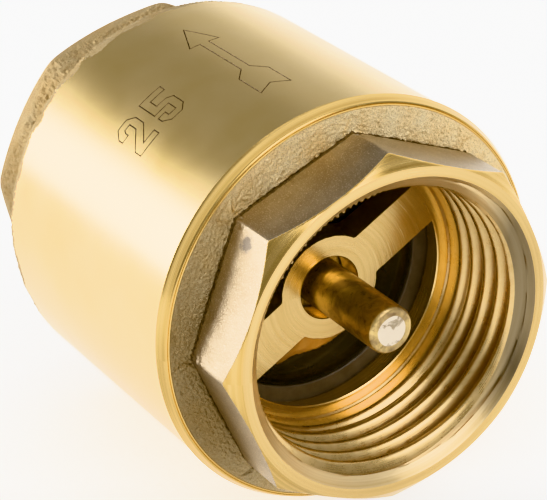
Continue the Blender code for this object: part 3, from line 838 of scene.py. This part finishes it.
def inlet_core(finishes):
    """The spigot with the ring's groove and its thread, the seat, the passage, and the bridge across it."""
    core = Section(CORE_COLUMNS)
    front = FLANGE_REAR - BURY
    groove = [
        (front, LINER_OUTSIDE - BURY), (front, SPIGOT_RADIUS), (SEAL_GROOVE_FRONT, SPIGOT_RADIUS),
        (SEAL_GROOVE_FRONT, SEAL_GROOVE_RADIUS), (SEAL_GROOVE_REAR, SEAL_GROOVE_RADIUS),
        (SEAL_GROOVE_REAR, SPIGOT_RADIUS - 0.3 * MM),
    ]
    core.path(groove, MACHINED)
    floor = SEAT_DEPTH - SEAT_LIP_HEIGHT
    bevel = 0.6 * MM
    own = np.linspace(SEAL_GROOVE_REAR + 0.1 * MM, floor - bevel, 28)[:, None]
    ends = ramp(own, SEAL_GROOVE_REAR, 0.5 * MM)
    core.strip(own, SPIGOT_RADIUS - spigot_groove(own, core.angle, ends), MACHINED)
    lip_outer = SEAT_RADIUS + SEAT_LIP_WIDTH
    seat = [(floor, SPIGOT_RADIUS - bevel - 0.6 * MM), (floor, lip_outer + bevel)]
    seat += corners(SEAT_DEPTH, lip_outer, [(-0.1, 0.05), (0, -0.1)])
    seat += corners(SEAT_DEPTH, SEAT_RADIUS, [(0, 0.1), (-0.1, 0)])
    passage = corners(PORT_DEPTH, PASSAGE_RADIUS, [(0.12, 0), (0, 0.12)])
    core.path(seat + passage[:1], MACHINED, 0.7 * MM)
    core.path(passage + [(PORT_DEPTH, LINER_OUTSIDE - BURY), (front, LINER_OUTSIDE - BURY)], FACED, 0.5 * MM)
    piece = core.mesh("inlet_fitting_core", finishes)
    face = PORT_DEPTH - 0.004 * MM
    bridge = bridge_section(face, INLET_BRIDGE_REAR, INLET_HUB_RADIUS, INLET_HUB_BORE, INLET_BAR_ANGLE, 1)
    combine(piece, "UNION", bridge.mesh("inlet_bridge", finishes))
    return piece


def port_lining(name, end, count, finishes):
    port = Section(count)
    add_port(port, end)
    return port.mesh(name, finishes)


def make_inlet_fitting(finishes):
    skin, core = inlet_skin(finishes), inlet_core(finishes)
    for piece in (skin, core, port_lining("inlet_port_thread", 1, PORT_COLUMNS, finishes)):
        finish_piece(piece, "body", "inlet_fitting")


# ---------------------------------------------------------------- engraving

SIZE_MARK_DEPTH = 23.0 * MM
SIZE_MARK_ANGLE = math.radians(136)
ARROW_ANGLE = math.radians(98.0)
ARROW_TAIL, ARROW_TIP = 17.25 * MM, 36.6 * MM
ARROW_HALF_WIDTH = 1.8 * MM
ARROW_SHAFT_HALF = 0.53 * MM
GROOVE_HALF_WIDTH = 0.07 * MM
GROOVE_DEPTH = 0.10 * MM


def arrow_outline():
    """The flow arrow, which points to the outlet, as (depth, offset round the cylinder) corners."""
    head, neck, shoulder, notch = 32.05 * MM, 23.4 * MM, 21.7 * MM, 18.45 * MM
    half = [
        (ARROW_TIP, 0.0),
        (head, ARROW_HALF_WIDTH),
        (head, ARROW_SHAFT_HALF),
        (neck, ARROW_SHAFT_HALF),
        (shoulder, ARROW_HALF_WIDTH),
        (ARROW_TAIL, ARROW_HALF_WIDTH),
        (notch, 0.0),
    ]
    return half + [(d, -w) for d, w in half[-2:0:-1]]


def unit(vectors):
    return vectors / np.linalg.norm(vectors, axis=1)[:, None]


def engraved_cutter(name, outline, angle, finishes):
    """A thin diamond-shaped tube along a closed outline laid on the cylinder. It cuts a V groove."""
    path = between(outline + outline[:1], 0.5 * MM)
    ahead, behind = unit(np.roll(path, -1, axis=0) - path), unit(path - np.roll(path, 1, axis=0))
    mitre = unit(ahead + behind)
    width = GROOVE_HALF_WIDTH / np.clip((mitre * ahead).sum(1), 0.45, 1)
    side = np.stack([-mitre[:, 1], mitre[:, 0]], axis=1) * width[:, None]
    rings = []
    for across, down in ((1, 0), (0, GROOVE_DEPTH), (-1, 0), (0, -GROOVE_DEPTH)):
        depth, round_offset = (path + side * across).T
        turn = angle + round_offset / CYLINDER_RADIUS
        rings.append(to_points(depth, CYLINDER_RADIUS + 0.002 * MM - down, turn))
    points = np.stack(rings, axis=1)
    return grid_object(name, points, np.full(points.shape[:2], GROOVE_SHADE), finishes)


def size_mark():
    """The outlines of a plain nominal size mark, 25, as (depth, offset) corners of each figure's stroke."""
    tall, wide, bar = 6.0 * MM, 3.0 * MM, 1.0 * MM
    two = [
        (0, 0), (0, wide), (bar, wide), (bar, bar * 1.3), (tall * 0.55, wide), (tall - bar, wide),
        (tall, wide - bar * 0.8), (tall, bar * 0.8), (tall - bar * 1.2, 0), (tall - bar * 2.0, 0),
        (tall - bar * 2.0, bar), (tall - bar * 1.5, bar), (tall - bar, bar * 1.2), (tall - bar, wide - bar),
        (tall * 0.6, wide - bar), (bar * 1.2, 0),
    ]
    five = [
        (bar, 0), (0, bar * 0.8), (0, wide - bar * 0.8), (bar, wide), (tall * 0.6 - bar * 0.6, wide),
        (tall * 0.6, wide - bar * 0.7), (tall * 0.6, bar), (tall - bar, bar), (tall - bar, wide),
        (tall, wide), (tall, 0), (tall * 0.6 - bar, 0), (tall * 0.6 - bar, wide - bar), (bar, wide - bar),
        (bar, bar), (bar * 1.8, bar), (bar * 1.8, 0),
    ]
    gap = 1.2 * MM
    return [two, [(d, w + wide + gap) for d, w in five]]


HOUSING_WALL = CYLINDER_RADIUS - 1.25 * MM


def housing_skin(finishes):
    """The outside of the housing: outlet face, boss, shoulder, and the turned cylinder with its engraving."""
    skin = Section(FAR_SKIN_COLUMNS)
    skin.line((LENGTH, PORT_MOUTH_RADIUS), (LENGTH, BOSS_FACE_RADIUS), 3, FACED)
    skin.strip(*add_boss(skin, -1))
    start = LENGTH - BOSS_LENGTH - OUTLET_SHOULDER
    t = np.linspace(0, 1, 26)[1:, None]
    shoulder = start + OUTLET_SHOULDER * np.sin((1 - t) * math.pi / 2)
    before = np.linspace(start - 0.12 * MM, start - 1.2 * MM, 8)[:, None]
    for depth in (shoulder + 0 * skin.angle, before + 0 * skin.angle):
        skin.strip(depth, *skin_of_outlet(depth, skin.angle))
    front = HOUSING_FRONT
    skin.path([(start - 1.4 * MM, CYLINDER_RADIUS), (front + 0.15 * MM, CYLINDER_RADIUS)], SATIN, 1 * MM)
    hidden = [
        (front + 0.15 * MM, CYLINDER_RADIUS), (front, CYLINDER_RADIUS - 0.12 * MM), (front, HOUSING_WALL),
        (start - 3 * MM, HOUSING_WALL), (start + 1.2 * MM, PORT_MOUTH_RADIUS), (LENGTH, PORT_MOUTH_RADIUS),
    ]
    skin.path(hidden, MACHINED)
    piece = skin.mesh("housing_skin", finishes)
    combine(piece, "DIFFERENCE", engraved_cutter("arrow_cutter", arrow_outline(), ARROW_ANGLE, finishes))
    for i, outline in enumerate(size_mark()):
        placed = [(SIZE_MARK_DEPTH + d, -w) for d, w in outline]
        combine(piece, "DIFFERENCE", engraved_cutter(f"mark_cutter_{i}", placed, SIZE_MARK_ANGLE, finishes))
    return piece


def housing_core(finishes):
    """The socket with its thread, the chamber, the outlet passage, and the outlet bridge with its nose."""
    core = Section(CORE_COLUMNS)
    front, wall = HOUSING_FRONT, HOUSING_WALL
    socket = SPIGOT_RADIUS + GAP
    socket_end = SEAT_DEPTH - SEAT_LIP_HEIGHT + GAP
    thread_front = SEAL_GROOVE_REAR + 0.3 * MM
    core.path([(front, wall), (front, socket + 0.4 * MM), (front + 0.4 * MM, socket)], MACHINED)
    core.path([(front + 0.4 * MM, socket), (thread_front, socket)], MACHINED, 0.6 * MM)
    own = np.linspace(thread_front, socket_end - 0.2 * MM, 28)[:, None]
    ends = ramp(own, thread_front, 0.5 * MM) * (1 - ramp(own, socket_end - 0.5 * MM, 0.5 * MM))
    core.strip(own, socket - spigot_groove(own, core.angle, ends), MACHINED)
    floor = place(PORT_DEPTH, -1)
    chamber = [
        (socket_end, socket), (socket_end, CHAMBER_RADIUS),
        (OUTLET_BRIDGE_FRONT - CHAMBER_CONE[0], CHAMBER_RADIUS),
        (OUTLET_BRIDGE_FRONT, CHAMBER_RADIUS - CHAMBER_CONE[1]),
    ]
    chamber += corners(OUTLET_BRIDGE_FRONT, PASSAGE_RADIUS, [(0, 0.2), (0.2, 0)])
    chamber += corners(floor, PASSAGE_RADIUS, [(-0.12, 0), (0, 0.12)])
    chamber += [
        (floor, LINER_OUTSIDE - BURY), (OUTLET_BRIDGE_FRONT + 1.5 * MM, wall + BURY),
        (front + 0.05 * MM, wall + BURY), (front, wall),
    ]
    core.path(chamber, MACHINED, 1.2 * MM)
    piece = core.mesh("housing_core", finishes)
    face, rear = floor + 0.004 * MM, OUTLET_BRIDGE_FRONT + 0.004 * MM
    bridge = bridge_section(face, rear, OUTLET_HUB_RADIUS, STEM_RADIUS + GAP, OUTLET_BAR_ANGLE, 0.4)
    combine(piece, "UNION", bridge.mesh("outlet_bridge", finishes))
    combine(piece, "UNION", outlet_nose(finishes))
    return piece


def outlet_nose(finishes):
    """The short collar on the outlet hub that centres the spring."""
    section = Section(96)
    front = OUTLET_BRIDGE_FRONT - OUTLET_NOSE_LENGTH
    back = OUTLET_BRIDGE_FRONT + 1 * MM
    bore = STEM_RADIUS + GAP
    outline = corners(front, bore, [(0.15, 0), (0, 0.15)])
    outline += corners(front, OUTLET_NOSE_RADIUS, [(0, -0.15), (0.15, 0)])
    outline += [(back, OUTLET_NOSE_RADIUS), (back, bore + 0.002 * MM)]
    section.path(outline + outline[:1], MACHINED)
    return section.mesh("outlet_nose", finishes)


def make_housing(finishes):
    skin, core = housing_skin(finishes), housing_core(finishes)
    for piece in (skin, core, port_lining("outlet_port_thread", -1, FAR_PORT_COLUMNS, finishes)):
        finish_piece(piece, "body", "housing")


# ---------------------------------------------------------------- the poppet, the spring and the ring


def turned_piece(name, body, node, outline, materials, count=192):
    """A turned ring from its (depth, radius) outline, standing for a CAD node."""
    section = Section(count)
    section.path(outline + outline[:1], 0, 0.6 * MM)
    finish_piece(section.mesh(name, materials), body, node)


def make_stem(finishes):
    """The rod: a rounded, faced tip with dents, the collar that holds the front plate, and a rounded end."""
    outline = [(STEM_TIP + 0.03 * MM, 0.2 * MM), (STEM_TIP, 1.2 * MM), (STEM_TIP, FACED_TIP_RADIUS)]
    outline += quarter_round(STEM_TIP, STEM_RADIUS, STEM_EDGE, STEM_EDGE)
    outline += [
        (COLLAR_FRONT - 0.2 * MM, STEM_RADIUS), (COLLAR_FRONT, STEM_RADIUS + 0.1 * MM),
        (COLLAR_FRONT, COLLAR_RADIUS - 0.1 * MM), (COLLAR_FRONT + 0.1 * MM, COLLAR_RADIUS),
        (COLLAR_REAR, COLLAR_RADIUS), (COLLAR_REAR, STEM_RADIUS), (NUT_REAR, STEM_RADIUS),
        (STEM_END - STEM_EDGE, STEM_RADIUS), (STEM_END - 0.15 * MM, STEM_RADIUS - 0.25 * MM),
        (STEM_END, STEM_RADIUS - STEM_EDGE), (STEM_END, 0.2 * MM),
    ]
    rows = np.append(between(outline, 0.8 * MM), outline[-1:], axis=0)
    angle = columns(STEM_COLUMNS)
    depth, radius = rows[:, :1] + 0 * angle, rows[:, 1:] + 0 * angle
    faced = smooth((STEM_TIP + STEM_EDGE - depth) / STEM_EDGE)
    dents = faced * MM * lumps(to_points(depth, radius, angle), 1.6, 2, 2.0)
    depth, radius = depth + 0.05 * dents, radius + 0.04 * dents
    bright = (depth < STEM_TIP + 0.3 * STEM_EDGE) & (radius < FACED_TIP_RADIUS - 0.05 * MM)
    points = to_points(depth, radius, angle)
    piece = grid_object("stem_rod", points, bright.astype(int), finishes, closed_rows=False)
    finish_piece(piece, "poppet", "stem")


def make_front_plate(finishes):
    """The glossy plate: rounded rim, recess for the stem's collar, and the hub that the rubber sits on."""
    inner = STEM_RADIUS + GAP
    recess = COLLAR_RADIUS + GAP
    outline = [(COLLAR_REAR + GAP, inner), (COLLAR_REAR + GAP, recess)]
    outline += corners(FRONT_PLATE_FRONT, recess, [(0.3, 0), (0.12, 0.15), (0.05, 0.6)])
    outline += quarter_round(FRONT_PLATE_FRONT, FRONT_PLATE_RADIUS, 0.75 * MM, 1.6 * MM)
    outline += [
        (FRONT_PLATE_REAR, FRONT_PLATE_RADIUS), (FRONT_PLATE_REAR, FRONT_PLATE_HUB_RADIUS),
        (SEAL_REAR, FRONT_PLATE_HUB_RADIUS), (SEAL_REAR, inner),
    ]
    turned_piece("front_plate_moulding", "poppet", "poppet_front_plate", outline, finishes)


def make_seat_seal(finishes):
    """The flat rubber ring: its front stands round the front plate, and its root lies behind it."""
    under = FRONT_PLATE_REAR + GAP
    inner = FRONT_PLATE_RADIUS + 0.15 * MM
    outline = [(under, FRONT_PLATE_HUB_RADIUS + GAP), (under, inner)]
    outline += corners(SEAL_FRONT, inner, [(0.12, 0), (0, 0.12)])
    outline += corners(SEAL_FRONT, SEAL_OUTER_RADIUS, [(0, -0.12), (0.12, 0)])
    outline += corners(SEAL_REAR, SEAL_OUTER_RADIUS, [(-0.12, 0), (0, -0.12)])
    outline += [(SEAL_REAR, FRONT_PLATE_HUB_RADIUS + GAP)]
    turned_piece("seal_ring_rubber", "poppet", "seat_seal", outline, finishes)


def make_back_plate(finishes):
    """The plate behind the rubber, with rounded edges and the boss that centres the spring."""
    inner = STEM_RADIUS + GAP
    outline = [(BACK_PLATE_FRONT, inner)]
    outline += corners(BACK_PLATE_FRONT, BACK_PLATE_RADIUS, [(0, -0.3), (0.1, -0.08), (0.3, 0)])
    outline += corners(BACK_PLATE_REAR, BACK_PLATE_RADIUS, [(-0.8, 0), (-0.3, -0.4), (0, -1.2)])
    outline += corners(BACK_PLATE_REAR, BOSS_RADIUS, [(0, 0.3), (0.3, 0)])
    outline += corners(BOSS_REAR, BOSS_RADIUS, [(-0.2, 0), (0, -0.2)]) + [(BOSS_REAR, inner)]
    turned_piece("back_plate_moulding", "poppet", "poppet_back_plate", outline, finishes)


def make_nut(finishes):
    """A hexagon nut with both faces chamfered, as a turned grid whose outline is the hexagon."""
    section = Section(NUT_COLUMNS)
    hexagon = NUT_HALF_FLATS / np.cos(np.mod(section.angle, math.pi / 3) - math.pi / 6)
    thick = NUT_REAR - NUT_FRONT
    own = np.concatenate([np.linspace(0, 0.6 * MM, 7), np.linspace(thick - 0.6 * MM, thick, 7)])[:, None]
    cone = NUT_HALF_FLATS + np.minimum(own, thick - own) / math.tan(math.radians(30))
    bore = STEM_RADIUS + GAP
    section.strip([NUT_FRONT], [bore + 0.1 * MM], MACHINED)
    section.strip(NUT_FRONT + own, soft_min(hexagon, cone, 0.03 * MM), MACHINED)
    back = [NUT_REAR, NUT_REAR - 0.1 * MM, NUT_FRONT + 0.1 * MM]
    section.strip(back, [bore + 0.1 * MM, bore, bore], MACHINED)
    finish_piece(section.mesh("hexagon_nut", finishes), "poppet", "poppet_nut")


def make_spring(finishes):
    """Round wire with a closed coil at each end, which in the real valve shortens towards the outlet as the
    poppet opens.
    """
    front, rear = SPRING_FRONT + WIRE_RADIUS, SPRING_REAR - WIRE_RADIUS
    closed = END_COILS * END_COIL_PITCH
    active_pitch = (rear - front - 2 * closed) / ACTIVE_COILS
    turns = ACTIVE_COILS + 2 * END_COILS
    turn = np.linspace(0, turns, round(turns * 64) + 1)[:, None]
    head = np.minimum(turn, END_COILS) * END_COIL_PITCH
    tail = np.maximum(turn - END_COILS - ACTIVE_COILS, 0) * END_COIL_PITCH
    depth = front + head + tail + np.clip(turn - END_COILS, 0, ACTIVE_COILS) * active_pitch
    around = columns(16)
    radius = SPRING_RADIUS + WIRE_RADIUS * np.cos(around)
    points = to_points(depth + WIRE_RADIUS * np.sin(around), radius + 0 * turn, 2 * math.pi * turn)
    piece = grid_object("spring_wire", points, np.zeros(points.shape[:2]), finishes, closed_rows=False)
    finish_piece(piece, "body", "spring")
    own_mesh(piece)


def make_seal_ring(finishes):
    centre = (SEAL_GROOVE_FRONT + SEAL_GROOVE_REAR) / 2
    radius = (SEAL_GROOVE_RADIUS + SPIGOT_RADIUS + GAP) / 2
    cos_sin = [(SEAL_SECTION_RADIUS * math.cos(a), SEAL_SECTION_RADIUS * math.sin(a)) for a in columns(24)]
    outline = [(centre + along, radius + out) for along, out in cos_sin]
    turned_piece("o_ring", "body", "body_seal_ring", outline, finishes, count=256)


# ---------------------------------------------------------------- studio

CAMERA_AZIMUTH = math.radians(59.99)
CAMERA_ELEVATION = math.radians(26.14)
CAMERA_ROLL = math.radians(-2.115)
CAMERA_DISTANCE = 262.07 * MM
CAMERA_TARGET = Vector((1.527, 0.512, -0.761)) * MM
CAMERA_LENS = 158.68

# The room's radiance: cones of (direction, full within, none past, radiance), laid over each other in turn.
FRONT_RADIANCE = 0.35
ROOM = [
    ((-1, 0.15, 0.05), 60, 118, 1.6),
    ((-0.72, 0.30, 0.62), 8, 45, 0.5),
    ((-0.60, 0.00, 0.80), 15, 30, 0.28),
    ((-0.77, -0.08, 0.63), 8, 31, 0.33),
    ((-0.74, -0.65, 0.16), 10, 19, 11.0),
    ((0.72, 0.05, 0.70), 12, 24, 4.5),
]
FLOOR_SIZE = 3.2
# Painted light: the floor's glow, with a painted darker band just in front of the inlet.
FLOOR_GLOW = (1.1, 0.3, 0.8)  # under and behind the valve, just in front of its inlet, and farther in front


def make_camera():
    data = bpy.data.cameras.new("camera")
    data.lens = CAMERA_LENS
    data.clip_start = 0.01
    camera = bpy.data.objects.new("camera", data)
    bpy.context.scene.collection.objects.link(camera)
    azimuth, elevation = CAMERA_AZIMUTH, CAMERA_ELEVATION
    flat = math.cos(elevation)
    back = Vector((math.sin(azimuth) * flat, -math.cos(azimuth) * flat, math.sin(elevation)))
    turn = (-back).to_track_quat("-Z", "Y").to_matrix() @ Matrix.Rotation(CAMERA_ROLL, 3, "Z")
    camera.matrix_world = Matrix.Translation(CAMERA_TARGET + CAMERA_DISTANCE * back) @ turn.to_4x4()
    bpy.context.scene.camera = camera


def make_world():
    """A soft room: bright behind the valve and beside it, with darker cones above for its dark bands."""
    world = bpy.data.worlds.new("studio")
    bpy.context.scene.world = world
    nodes = Tree(world)
    place = nodes.add("ShaderNodeTexCoord").outputs["Generated"]
    light = FRONT_RADIANCE
    for direction, inner, outer, radiance in ROOM:
        dot = nodes.add("ShaderNodeVectorMath", operation="DOT_PRODUCT")
        nodes.feed(dot, {0: place, 1: Vector(direction).normalized()})
        span = nodes.add("ShaderNodeMapRange", interpolation_type="SMOOTHSTEP")
        low, high = math.cos(math.radians(outer)), math.cos(math.radians(inner))
        nodes.feed(span, {"Value": dot.outputs["Value"], "From Min": low, "From Max": high})
        mix = nodes.add("ShaderNodeMix")
        nodes.feed(mix, {"Factor": span.outputs["Result"], "A": light, "B": radiance})
        light = mix.outputs["Result"]
    nodes.feed(nodes.tree.nodes["Background"], {"Color": (1, 1, 1, 1), "Strength": light})


def make_floor():
    half, z = 0.5 * FLOOR_SIZE, -FLANGE_RADIUS
    mesh = bpy.data.meshes.new("floor")
    outline = [(-half, -half, z), (half, -half, z), (half, half, z), (-half, half, z)]
    mesh.from_pydata(outline, [], [(0, 1, 2, 3)])
    m = Nodes("floor_glowing", (0.6, 0.6, 0.6), 0.0, 0.9, Emission_Color=(1, 1, 1, 1))
    split = m.split()
    # Painted light: the floor glows strongest under and behind the valve, with a painted darker band just in
    # front of its inlet and more glow farther in front.
    ahead = m.math("ADD", split[0], m.math("MULTIPLY", split[1], -0.6))
    near, middle, far = FLOOR_GLOW
    fall = m.span(ahead, 15 * MM, 32 * MM, near, middle)
    rise = m.span(ahead, 45 * MM, 90 * MM, 0.0, far - middle)
    m.link(m.math("ADD", fall, rise), m.shader.inputs["Emission Strength"])
    mesh.materials.append(m.material)
    floor = bpy.data.objects.new("floor", mesh)
    bpy.context.scene.collection.objects.link(floor)


def make_studio():
    make_camera()
    make_world()
    make_floor()
    bpy.context.scene.view_settings.view_transform = "Khronos PBR Neutral"


body_finishes, finishes = make_finishes()
make_inlet_fitting(body_finishes)
make_housing(body_finishes)
make_seal_ring(finishes["rubber"])
make_spring(finishes["steel"])
make_stem(finishes["stem"])
make_front_plate(finishes["plate"])
make_seat_seal(finishes["rubber"])
make_back_plate(finishes["plate"])
make_nut(body_finishes)
make_studio()
